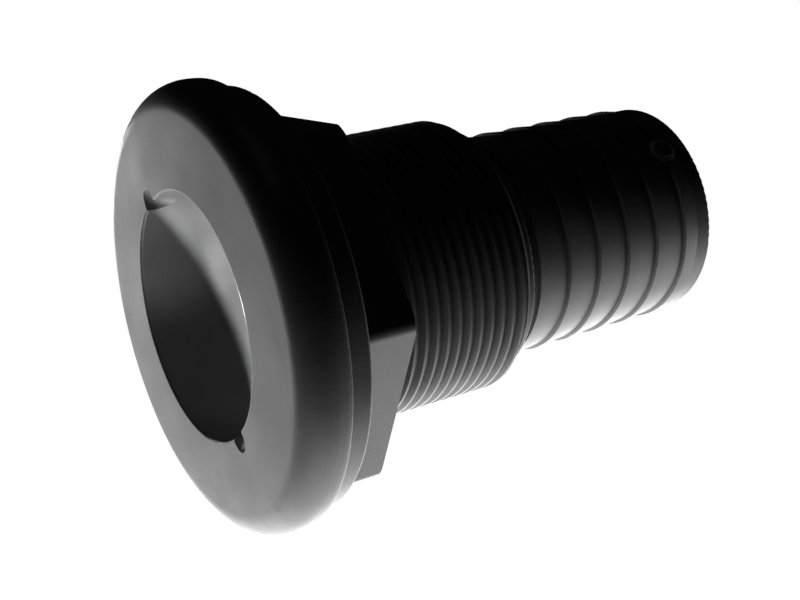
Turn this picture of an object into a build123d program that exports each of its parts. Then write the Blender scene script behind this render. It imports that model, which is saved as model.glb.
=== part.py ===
from build123d import *
import math
import os

os.makedirs("parts", exist_ok=True)

# Thru-hull hose fitting: a flanged, threaded and barbed body, a slip washer and a
# hexagonal lock nut, in millimetres.  The fitting's axis is X.  The origin is on that
# axis, in the plane of the flange's rear face, which seats against the hull.  The
# flange is on the -X side, outside the hull; the thread and the hose tail are on the
# +X side, inside it.  Angles about the axis start at +Z and grow towards +Y.

# ---------------------------------------------------------------- driving dimensions
# flange
flange_radius = 37.5
flange_thickness = 8.1
flat_face_radius = 33.0
face_dome = 0.4
widest_depth = 5.7
rear_edge_radius = 37.1

# threaded shank: straight right-hand thread, 12 to the inch, 1.9 in across
thread_radius = 24.13
thread_pitch = 25.4 / 12
thread_depth = 1.05
thread_flank_angle = 30.0
thread_start = 2.6
thread_end = 40.7
thread_turns = 20
thread_turns_per_cut = 2
collar_radius = 22.1
collar_end = 43.9
collar_fillet = 0.8
collar_end_rounding = 0.5

# hose tail, for hose of 38.1 mm (1 1/2 in) bore
barb_count = 6
barb_pitch = 6.53
first_barb = 46.65
first_crest_radius = 20.0
last_crest_radius = 19.62
barb_height = 0.55
barb_face_run = 0.25
tail_end = 85.5
tail_end_radius = 19.05
tail_end_land = 3.0
tail_end_rounding = 0.35

# waterway
mouth_radius = 20.65
mouth_rounding = 0.4
shoulder_start = 38.0
shoulder_end = 45.0
tail_bore_radius = 16.4
tail_bore_chamfer = 0.5

# two opposite key notches in the mouth, for holding the fitting while the nut turns
notch_angle = 45.0
notch_radius = 2.0
notch_reach = 3.0
notch_depth = 4.8

# round gate mark near the end of the tail
gate_angle = -34.4
gate_position = 79.9
gate_outer_radius = 2.45
gate_disc_radius = 1.8
gate_floor_radius = 18.9
gate_disc_top_radius = 19.5

# slip washer
washer_radius = 35.5
washer_thickness = 4.3
washer_bore_radius = 24.6
washer_front_rounding = 0.9
washer_rear_rounding = 0.5
washer_gap = 0.05

# lock nut
nut_across_corners = 66.8
nut_height = 9.4
nut_corner_rounding = 2.0
nut_turn = -19.5
nut_gap = 0.05
nut_chamfer_radius = 32.6
nut_chamfer_angle = 30.0
nut_bore_chamfer = 1.4
nut_turns = 8
nut_turns_per_cut = 1
thread_radial_clearance = 0.25
thread_axial_clearance = 0.18

# ---------------------------------------------------------------- derived dimensions
face_x = -flange_thickness
flank_slope = math.tan(math.radians(thread_flank_angle))
root_radius = thread_radius - thread_depth
flat_width = thread_pitch / 2 - thread_depth * flank_slope
cutter_overrun = 0.5
nut_bore_radius = root_radius + thread_radial_clearance
nut_major_radius = thread_radius + thread_radial_clearance
washer_start = washer_gap
washer_end = washer_start + washer_thickness
nut_start = washer_end + nut_gap
nut_end = nut_start + nut_height
nut_thread_start = thread_start - thread_pitch / 2
crest_taper = (first_crest_radius - last_crest_radius) / (barb_count - 1)


def radial(angle):
    """The unit vector that points away from the X axis at an angle from +Z."""
    turn = math.radians(angle)
    return Vector(0, math.sin(turn), math.cos(turn))


def groove(start, turns, low, high, low_width, high_width):
    """A right-hand helical groove cutter, a trapezoid between two radii."""
    helix = Edge.make_helix(
        thread_pitch, thread_pitch * turns, low, center=Vector(start, 0, 0), normal=Vector(1, 0, 0)
    )
    section_plane = Plane(origin=helix @ 0, x_dir=radial(0), z_dir=helix % 0)
    with BuildSketch(section_plane) as section:
        with BuildLine():
            Polyline(
                (0, -low_width / 2),
                (0, low_width / 2),
                (high - low, high_width / 2),
                (high - low, -high_width / 2),
                close=True,
            )
        make_face()
    with BuildPart() as cutter:
        sweep(sections=section.sketch, path=Wire([helix]), is_frenet=True)
    return cutter.part


def grooves(start, turns, turns_per_cut, low, high, low_width, high_width):
    """Short groove cutters end to end, which cut more reliably than one long one."""
    return [
        groove(start + k * thread_pitch, turns_per_cut, low, high, low_width, high_width)
        for k in range(0, turns, turns_per_cut)
    ]


# ---------------------------------------------------------------- fitting body
with BuildPart() as fitting_body:
    with BuildSketch(Plane.XZ):
        with BuildLine():
            # flange: mouth rounding, domed face, bullnose, rear edge, hull face
            Line((face_x, mouth_radius + mouth_rounding), (face_x + face_dome, flat_face_radius))
            EllipticalCenterArc(
                (face_x + widest_depth, flat_face_radius),
                widest_depth - face_dome,
                flange_radius - flat_face_radius,
                start_angle=90,
                arc_size=90,
            )
            EllipticalCenterArc(
                (face_x + widest_depth, rear_edge_radius),
                -face_x - widest_depth,
                flange_radius - rear_edge_radius,
                start_angle=0,
                arc_size=90,
            )
            # shank blank, lead-in chamfer, collar with a rounded end
            collar_start = thread_end + thread_radius - collar_radius
            root = first_crest_radius - barb_height
            Polyline(
                (0, rear_edge_radius),
                (0, thread_radius),
                (thread_end, thread_radius),
                (collar_start, collar_radius),
                (collar_end - collar_end_rounding, collar_radius),
            )
            RadiusArc(
                (collar_end - collar_end_rounding, collar_radius),
                (collar_end, collar_radius - collar_end_rounding),
                collar_end_rounding,
            )
            Line((collar_end, collar_radius - collar_end_rounding), (collar_end, root + collar_fillet))
            RadiusArc(
                (collar_end, root + collar_fillet),
                (collar_end + collar_fillet, root),
                collar_fillet,
            )
            # barbs: a steep face towards the flange and a long taper towards the end
            barb_points = [(collar_end + collar_fillet, root)]
            for k in range(barb_count):
                crest = first_crest_radius - crest_taper * k
                crest_x = first_barb + barb_pitch * k
                barb_points.append((crest_x - barb_face_run, crest - barb_height))
                barb_points.append((crest_x, crest))
            barb_points.append((tail_end - tail_end_land, tail_end_radius))
            barb_points.append((tail_end - tail_end_rounding, tail_end_radius))
            Polyline(*barb_points)
            RadiusArc(
                (tail_end - tail_end_rounding, tail_end_radius),
                (tail_end, tail_end_radius - tail_end_rounding),
                tail_end_rounding,
            )
            # waterway, from the tail's end back to the mouth
            Polyline(
                (tail_end, tail_end_radius - tail_end_rounding),
                (tail_end, tail_bore_radius + tail_bore_chamfer),
                (tail_end - tail_bore_chamfer, tail_bore_radius),
                (shoulder_end, tail_bore_radius),
                (shoulder_start, mouth_radius),
                (face_x + mouth_rounding, mouth_radius),
            )
            RadiusArc(
                (face_x + mouth_rounding, mouth_radius),
                (face_x, mouth_radius + mouth_rounding),
                mouth_rounding,
            )
        make_face()
    revolve(axis=Axis.X)
    # thread
    space_top = thread_radius + cutter_overrun
    space_width = flat_width + 2 * (space_top - root_radius) * flank_slope
    thread_space = (root_radius, space_top, flat_width, space_width)
    for cutter in grooves(thread_start, thread_turns, thread_turns_per_cut, *thread_space):
        add(cutter, mode=Mode.SUBTRACT)
    # key notches: a sloping round groove from the face to the bore wall
    notch_slope = math.atan2(notch_reach, notch_depth)
    for angle in (notch_angle, notch_angle + 180):
        out = radial(angle)
        along = Vector(math.cos(notch_slope), 0, 0) - out * math.sin(notch_slope)
        inward = Vector(-math.sin(notch_slope), 0, 0) - out * math.cos(notch_slope)
        rim_point = Vector(face_x, 0, 0) + out * (mouth_radius + notch_reach)
        with BuildSketch(Plane(origin=rim_point + inward * notch_radius, x_dir=inward, z_dir=along)):
            Circle(notch_radius)
        extrude(amount=2 * notch_depth, both=True, mode=Mode.SUBTRACT)
    # gate mark: a flat disc in a ring-shaped groove
    gate_out = radial(gate_angle)
    gate_base = Vector(gate_position, 0, 0)
    with BuildSketch(Plane(origin=gate_base + gate_out * gate_floor_radius, z_dir=gate_out)):
        Circle(gate_outer_radius)
    extrude(amount=barb_height * 3, mode=Mode.SUBTRACT)
    with BuildSketch(Plane(origin=gate_base + gate_out * (gate_floor_radius - 1), z_dir=gate_out)):
        Circle(gate_disc_radius)
    extrude(amount=gate_disc_top_radius - gate_floor_radius + 1)

fitting_body.part.label = "fitting_body"
export_step(fitting_body.part, "parts/fitting_body.step")

# ---------------------------------------------------------------- slip washer
with BuildPart() as slip_washer:
    with BuildSketch(Plane.YZ.offset(washer_start)):
        Circle(washer_radius)
        Circle(washer_bore_radius, mode=Mode.SUBTRACT)
    extrude(amount=washer_thickness)
    front_rim = slip_washer.faces().sort_by(Axis.X)[0].outer_wire().edges()
    fillet(front_rim, washer_front_rounding)
    rear_rim = slip_washer.faces().sort_by(Axis.X)[-1].outer_wire().edges()
    fillet(rear_rim, washer_rear_rounding)

slip_washer.part.label = "slip_washer"
export_step(slip_washer.part, "parts/slip_washer.step")

# ---------------------------------------------------------------- lock nut
with BuildPart() as lock_nut:
    hex_plane = Plane(origin=(nut_start, 0, 0), x_dir=radial(nut_turn), z_dir=(1, 0, 0))
    with BuildSketch(hex_plane) as hexagon:
        RegularPolygon(nut_across_corners / 2, 6)
        fillet(hexagon.vertices(), nut_corner_rounding)
    extrude(amount=nut_height)
    # corners trimmed by a cone at each end, and the bore countersunk
    with BuildSketch(Plane.XZ):
        corner_radius = nut_across_corners / 2 + 1
        corner_run = (corner_radius - nut_chamfer_radius) * math.tan(math.radians(nut_chamfer_angle))
        with BuildLine():
            Polyline(
                (nut_start, nut_bore_radius + nut_bore_chamfer),
                (nut_start + nut_bore_chamfer, nut_bore_radius),
                (nut_end - nut_bore_chamfer, nut_bore_radius),
                (nut_end, nut_bore_radius + nut_bore_chamfer),
                (nut_end, nut_chamfer_radius),
                (nut_end - corner_run, corner_radius),
                (nut_start + corner_run, corner_radius),
                (nut_start, nut_chamfer_radius),
                close=True,
            )
        make_face()
    revolve(axis=Axis.X, mode=Mode.INTERSECT)
    # thread, cut from inside the bore: the shank's ridge with clearance all round
    cut_low = nut_bore_radius - cutter_overrun
    ridge_width = flat_width + 2 * thread_axial_clearance
    low_width = ridge_width + 2 * (thread_radius - cut_low) * flank_slope
    high_width = ridge_width + 2 * (thread_radius - nut_major_radius) * flank_slope
    ridge_space = (cut_low, nut_major_radius, low_width, high_width)
    for cutter in grooves(nut_thread_start, nut_turns, nut_turns_per_cut, *ridge_space):
        add(cutter, mode=Mode.SUBTRACT)

lock_nut.part.label = "lock_nut"
export_step(lock_nut.part, "parts/lock_nut.step")
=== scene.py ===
import math

import bpy
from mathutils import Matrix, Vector


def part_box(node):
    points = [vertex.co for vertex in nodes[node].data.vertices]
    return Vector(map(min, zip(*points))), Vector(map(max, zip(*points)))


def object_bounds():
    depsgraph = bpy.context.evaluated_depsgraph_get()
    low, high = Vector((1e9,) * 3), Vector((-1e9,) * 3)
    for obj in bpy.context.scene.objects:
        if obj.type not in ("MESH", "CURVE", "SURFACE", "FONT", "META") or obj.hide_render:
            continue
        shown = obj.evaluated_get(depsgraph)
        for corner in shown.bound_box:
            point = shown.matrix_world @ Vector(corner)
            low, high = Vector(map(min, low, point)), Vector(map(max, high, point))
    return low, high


# A moulded thru-hull fitting.  It lies along X: the flange faces -X and the hose tail
# points to +X.  Lengths are in metres.

# ---------------------------------------------------------------- looks
BLACK = (0.050, 0.050, 0.051)
DUST = (0.22, 0.22, 0.21, 1.0)
SATIN = 0.45
BODY_GRAIN = 0.30
LOOSE_PART_GRAIN = 0.25
PEEL_STRENGTH = 0.25
BUMP_DEPTH = 0.0001
PLASTIC_IOR = 1.5

# noise scales, per metre
CLOUD_SCALE = 90.0
PEEL_SCALE = 420.0
SCUFF_SCALE = 900.0
SPECK_SCALE = 2600.0

# the gate mark on the tail, and the ring of painted light round it: paler colour laid over the groove
# round the mark, standing in for the light and shade of the groove
GATE_ANGLE = math.radians(-34.4)
GATE_X = 0.0799
GATE_RING_INNER = 0.0016
GATE_RING_OUTER = 0.0026
GATE_RING_FADE = 0.0002
# the painted light's pale colour, and how fully it covers the ring
GATE_PAINTED_LIGHT = (0.60, 0.60, 0.59, 1.0)
GATE_PAINTED_LIGHT_COVER = 0.85

# ---------------------------------------------------------------- floor, lights and camera
FLOOR_RADIUS = 1.5
FLOOR_SIDES = 96
FLOOR_DROP = 0.091
PANEL_DROP = 0.09
BACKDROP_LEVEL = 1.0
ROOM_LEVEL = 0.004

# glowing panels on the floor: the range that each covers in X and in Y, and its radiance
FLANGE_SIDE = (-0.21, -0.07)
UNDER_FLANGE = (-0.07, 0.04)
UNDER_TAIL = (0.04, 0.21)
MIDDLE = (-0.07, 0.07)
PANELS = {
    "panel_under_left": (UNDER_FLANGE, (0.0, 0.14), 4.7),
    "panel_under_right": (UNDER_TAIL, (0.0, 0.14), 5.9),
    "panel_front_left": (UNDER_FLANGE, (-0.14, 0.0), 3.5),
    "panel_front_right": (UNDER_TAIL, (-0.14, 0.0), 2.8),
    "panel_left": (FLANGE_SIDE, (-0.14, 0.14), 1.35),
    "panel_back_left": (FLANGE_SIDE, (0.14, 0.63), 2.5),
    "panel_back": (MIDDLE, (0.14, 0.28), 2.0),
    "panel_back_right": ((0.07, 0.28), (0.14, 0.28), 100.0),
    "panel_far": (MIDDLE, (0.28, 0.42), 4.3),
    "panel_farthest": (MIDDLE, (0.42, 0.70), 17.0),
}

# small lamps inside the waterway: the offset from the middle of the mouth, the direction
# that each faces, its spread, how soft the spread's edge is, and its power in watts
HALF_SPACE = math.pi
CRESCENT_SIDE = (1.0, -0.534, 0.534)
WATERWAY_LAMP_SIZE = 0.001
WATERWAY_LAMPS = {
    "waterway_low": ((0.0072, 0.0010, -0.0132), CRESCENT_SIDE, HALF_SPACE, 0.02, 0.044),
    "waterway_side": ((0.0050, -0.0040, -0.0140), CRESCENT_SIDE, HALF_SPACE, 0.02, 0.012),
    "waterway_centre": ((0.0, 0.0, 0.0), CRESCENT_SIDE, HALF_SPACE, 0.02, 0.019),
    "waterway_middle": ((0.0146, -0.0100, -0.0080), (1.0, 0.02, 0.277), HALF_SPACE, 0.03, 0.034),
    "waterway_deep": ((0.0234, -0.0050, -0.0120), (1.0, 0.395, 0.103), HALF_SPACE, 0.05, 0.0125),
    "waterway_glow": ((0.0020, -0.0140, -0.0080), (0.1, 1.0, 0.56), math.radians(70), 1.0, 0.0145),
}

CAMERA_AZIMUTH = math.radians(-32.10)
CAMERA_ELEVATION = math.radians(24.126)
CAMERA_PLACE = (-0.09343, -0.19865, 0.09879)
CAMERA_LENS = 66.04
CAMERA_SENSOR = 36.0

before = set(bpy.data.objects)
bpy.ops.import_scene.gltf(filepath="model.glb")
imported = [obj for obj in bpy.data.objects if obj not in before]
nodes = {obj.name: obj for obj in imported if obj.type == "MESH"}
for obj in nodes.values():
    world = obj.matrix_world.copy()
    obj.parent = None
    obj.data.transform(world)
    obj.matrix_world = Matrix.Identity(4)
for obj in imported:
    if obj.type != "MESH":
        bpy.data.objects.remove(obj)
cad_low, cad_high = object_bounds()
body_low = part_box("fitting_body")[0]
centre = (cad_low + cad_high) / 2
mouth = Vector((body_low.x, 0.0, 0.0))


# ---------------------------------------------------------------- materials
class Graph:
    """A short way to add nodes to a material and join them."""

    def __init__(self, name):
        self.material = bpy.data.materials.new(name)
        self.material.use_nodes = True
        self.tree = self.material.node_tree
        self.shader = self.tree.nodes["Principled BSDF"]

    def node(self, kind, links=None, **values):
        made = self.tree.nodes.new(kind)
        for key, value in values.items():
            setattr(made, key, value)
        for socket, source in (links or {}).items():
            if isinstance(source, bpy.types.NodeSocket):
                self.tree.links.new(source, made.inputs[socket])
            else:
                made.inputs[socket].default_value = source
        return made

    def noise(self, vector, scale, detail=4.0, roughness=0.5):
        links = {"Vector": vector, "Scale": scale, "Detail": detail, "Roughness": roughness}
        return self.node("ShaderNodeTexNoise", links).outputs["Fac"]

    def remap(self, value, low, high, to_low, to_high):
        links = {"Value": value, "From Min": low, "From Max": high, "To Min": to_low, "To Max": to_high}
        return self.node("ShaderNodeMapRange", links).outputs["Result"]

    def maths(self, operation, first, second):
        return self.node("ShaderNodeMath", {0: first, 1: second}, operation=operation).outputs["Value"]

    def dot(self, vector, direction):
        links = {0: vector, 1: direction}
        return self.node("ShaderNodeVectorMath", links, operation="DOT_PRODUCT").outputs["Value"]

    def link(self, source, socket):
        self.tree.links.new(source, self.shader.inputs[socket])


def moulded_plastic(name, tone, roughness, grain, painted_light_marks=None):
    """Moulded plastic: mottled colour, uneven satin, fine grain, dust and scuffs."""
    g = Graph(name)
    place = g.node("ShaderNodeTexCoord").outputs["Object"]
    cloud = g.noise(place, CLOUD_SCALE, 3.0)
    speck = g.noise(place, SPECK_SCALE, 2.0)
    orange_peel = g.noise(place, PEEL_SCALE, 2.0)
    # colour: a cloudy tone with fine paler specks of dust
    mottle = g.node("ShaderNodeMix", {"Factor": g.remap(cloud, 0.3, 0.7, 0.0, 1.0)}, data_type="RGBA")
    mottle.inputs["A"].default_value = tuple(0.75 * part for part in tone) + (1.0,)
    mottle.inputs["B"].default_value = tuple(1.25 * part for part in tone) + (1.0,)
    dust = g.node("ShaderNodeMix", {"Factor": g.remap(speck, 0.68, 0.80, 0.0, 0.25)}, data_type="RGBA")
    g.tree.links.new(mottle.outputs["Result"], dust.inputs["A"])
    dust.inputs["B"].default_value = DUST
    colour = dust.outputs["Result"]
    # extra colour: on the body, the ring of painted light round the gate mark
    if painted_light_marks:
        colour = painted_light_marks(g, place, colour)
    g.link(colour, "Base Color")
    # satin: uneven over centimetres, with faint scuffs drawn out across the axis
    uneven = g.remap(cloud, 0.3, 0.7, roughness - 0.04, roughness + 0.05)
    stretch = g.node("ShaderNodeMapping", {"Vector": place, "Scale": (1.0, 0.15, 0.15)}).outputs["Vector"]
    scuff = g.remap(g.noise(stretch, SCUFF_SCALE, 5.0, 0.7), 0.62, 0.78, 0.0, 0.12)
    g.link(g.maths("ADD", uneven, scuff), "Roughness")
    # surface of the mould: a fine grain over a faint orange peel
    peel_links = {"Height": orange_peel, "Strength": PEEL_STRENGTH, "Distance": BUMP_DEPTH}
    peel = g.node("ShaderNodeBump", peel_links)
    bump = g.node("ShaderNodeBump", {"Height": speck, "Strength": grain, "Distance": BUMP_DEPTH})
    g.tree.links.new(peel.outputs["Normal"], bump.inputs["Normal"])
    g.link(bump.outputs["Normal"], "Normal")
    g.shader.inputs["IOR"].default_value = PLASTIC_IOR
    return g.material


def gate_painted_light(g, place, colour):
    """Paints light: pales the plastic in a ring round the gate mark, standing in for the light and shade
    of the groove there.
    """
    across = (0.0, math.cos(GATE_ANGLE), -math.sin(GATE_ANGLE))
    outward = (0.0, math.sin(GATE_ANGLE), math.cos(GATE_ANGLE))
    side = g.dot(place, across)
    up = g.dot(place, outward)
    along = g.node("ShaderNodeSeparateXYZ", {"Vector": place}).outputs["X"]
    offset = g.maths("SUBTRACT", along, GATE_X)
    span = g.node("ShaderNodeCombineXYZ", {"X": offset, "Y": side}).outputs["Vector"]
    reach = g.node("ShaderNodeVectorMath", {0: span}, operation="LENGTH").outputs["Value"]
    inside = g.remap(reach, GATE_RING_INNER, GATE_RING_INNER + GATE_RING_FADE, 0.0, 1.0)
    outside = g.remap(reach, GATE_RING_OUTER - GATE_RING_FADE, GATE_RING_OUTER, 1.0, 0.0)
    near_side = g.remap(up, 0.0, 0.001, 0.0, 1.0)
    ring = g.maths("MULTIPLY", g.maths("MULTIPLY", inside, outside), near_side)
    cover = g.maths("MULTIPLY", ring, GATE_PAINTED_LIGHT_COVER)
    # painted light: mixes the pale colour into the plastic over the ring
    painted_light = g.node("ShaderNodeMix", {"Factor": cover}, data_type="RGBA")
    g.tree.links.new(colour, painted_light.inputs["A"])
    painted_light.inputs["B"].default_value = GATE_PAINTED_LIGHT
    return painted_light.outputs["Result"]


def dress(name, material):
    """Gives every material slot of a CAD node one material."""
    for place in nodes[name].material_slots:
        place.material = material


# the body also carries the ring of painted light round the gate mark
dress("fitting_body", moulded_plastic("body_plastic_look", BLACK, SATIN, BODY_GRAIN, gate_painted_light))
dress("slip_washer", moulded_plastic("washer_plastic_look", BLACK, SATIN, LOOSE_PART_GRAIN))
dress("lock_nut", moulded_plastic("nut_plastic_look", BLACK, SATIN, LOOSE_PART_GRAIN))


# ---------------------------------------------------------------- studio
def pale_floor(level):
    """A plain pale floor.  Only the camera sees it: the light comes from the panels."""
    mesh = bpy.data.meshes.new("pale_floor")
    turn = 2 * math.pi / FLOOR_SIDES
    rim = [
        (FLOOR_RADIUS * math.cos(turn * k), FLOOR_RADIUS * math.sin(turn * k), level)
        for k in range(FLOOR_SIDES)
    ]
    mesh.from_pydata(rim, [], [tuple(range(FLOOR_SIDES))])
    floor = bpy.data.objects.new("pale_floor", mesh)
    bpy.context.collection.objects.link(floor)
    floor.visible_diffuse = False
    floor.visible_glossy = False
    g = Graph("pale_floor_look")
    g.shader.inputs["Base Color"].default_value = (0.85, 0.85, 0.85, 1.0)
    g.shader.inputs["Roughness"].default_value = 0.9
    g.shader.inputs["Emission Color"].default_value = (1.0, 1.0, 1.0, 1.0)
    g.shader.inputs["Emission Strength"].default_value = 1.0
    g.material.cycles.emission_sampling = "NONE"
    mesh.materials.append(g.material)


def studio_world(seen, unseen):
    """A pale backdrop all round, and a dim room that lights the fitting's top."""
    world = bpy.data.worlds.new("studio")
    bpy.context.scene.world = world
    world.use_nodes = True
    tree = world.node_tree
    tree.nodes.clear()
    backdrop = tree.nodes.new("ShaderNodeBackground")
    backdrop.inputs["Color"].default_value = (seen, seen, seen, 1.0)
    room = tree.nodes.new("ShaderNodeBackground")
    room.inputs["Color"].default_value = (unseen, unseen, unseen, 1.0)
    path = tree.nodes.new("ShaderNodeLightPath")
    mix = tree.nodes.new("ShaderNodeMixShader")
    out = tree.nodes.new("ShaderNodeOutputWorld")
    tree.links.new(path.outputs["Is Camera Ray"], mix.inputs[0])
    tree.links.new(room.outputs[0], mix.inputs[1])
    tree.links.new(backdrop.outputs[0], mix.inputs[2])
    tree.links.new(mix.outputs[0], out.inputs["Surface"])


def lamp(name, data, place, target):
    """Puts a lamp, hidden from the camera, at a place and points it at a target."""
    made = bpy.data.objects.new(name, data)
    bpy.context.collection.objects.link(made)
    made.location = place
    made.rotation_mode = "QUATERNION"
    made.rotation_quaternion = (Vector(target) - Vector(place)).to_track_quat("-Z", "Y")
    made.visible_camera = False


def panel(name, x_range, y_range, radiance):
    """A glowing panel that lies just above the floor and shines upwards."""
    data = bpy.data.lights.new(name, "AREA")
    data.shape = "RECTANGLE"
    data.size = x_range[1] - x_range[0]
    data.size_y = y_range[1] - y_range[0]
    data.energy = radiance * math.pi * data.size * data.size_y
    middle = Vector((sum(x_range) / 2, sum(y_range) / 2, cad_low.z - PANEL_DROP))
    lamp(name, data, middle, middle + Vector((0.0, 0.0, 1.0)))


def softbox(name, place, target, size, power):
    """A square soft light that points at a target."""
    data = bpy.data.lights.new(name, "AREA")
    data.shape = "SQUARE"
    data.size = size
    data.energy = power
    lamp(name, data, place, target)


def waterway_lamp(name, offset, direction, spread, blend, power):
    """A small lamp inside the waterway.  A half-space spread lights only what it faces."""
    data = bpy.data.lights.new(name, "SPOT")
    data.spot_size = spread
    data.spot_blend = blend
    data.shadow_soft_size = WATERWAY_LAMP_SIZE
    data.energy = power
    place = mouth + Vector(offset)
    lamp(name, data, place, place + Vector(direction))


def camera():
    """A camera that looks along a compass direction and down by an elevation."""
    data = bpy.data.cameras.new("camera")
    data.lens = CAMERA_LENS
    data.sensor_width = CAMERA_SENSOR
    data.clip_start, data.clip_end = 0.01, 20.0
    made = bpy.data.objects.new("camera", data)
    bpy.context.collection.objects.link(made)
    level = math.cos(CAMERA_ELEVATION)
    back = Vector((
        math.sin(CAMERA_AZIMUTH) * level,
        -math.cos(CAMERA_AZIMUTH) * level,
        math.sin(CAMERA_ELEVATION),
    ))
    made.location = CAMERA_PLACE
    made.rotation_mode = "QUATERNION"
    made.rotation_quaternion = (-back).to_track_quat("-Z", "Y")
    bpy.context.scene.camera = made


pale_floor(cad_low.z - FLOOR_DROP)
studio_world(BACKDROP_LEVEL, ROOM_LEVEL)
for panel_name, panel_values in PANELS.items():
    panel(panel_name, *panel_values)
above = centre + Vector((-0.10, 0.0, 0.6))
softbox("top_softbox", above, centre, 0.25, 0.022)
past_tail = cad_high + Vector((0.06, -0.075, -0.075))
softbox("tail_softbox", past_tail, Vector((0.0, 0.02, 0.0)), 0.05, 0.0145)
softbox("side_softbox", Vector((0.16, -0.05, -0.06)), Vector((0.05, 0.0, 0.0)), 0.06, 0.0125)
for lamp_name, lamp_values in WATERWAY_LAMPS.items():
    waterway_lamp(lamp_name, *lamp_values)
camera()
bpy.context.scene.view_settings.view_transform = "Standard"
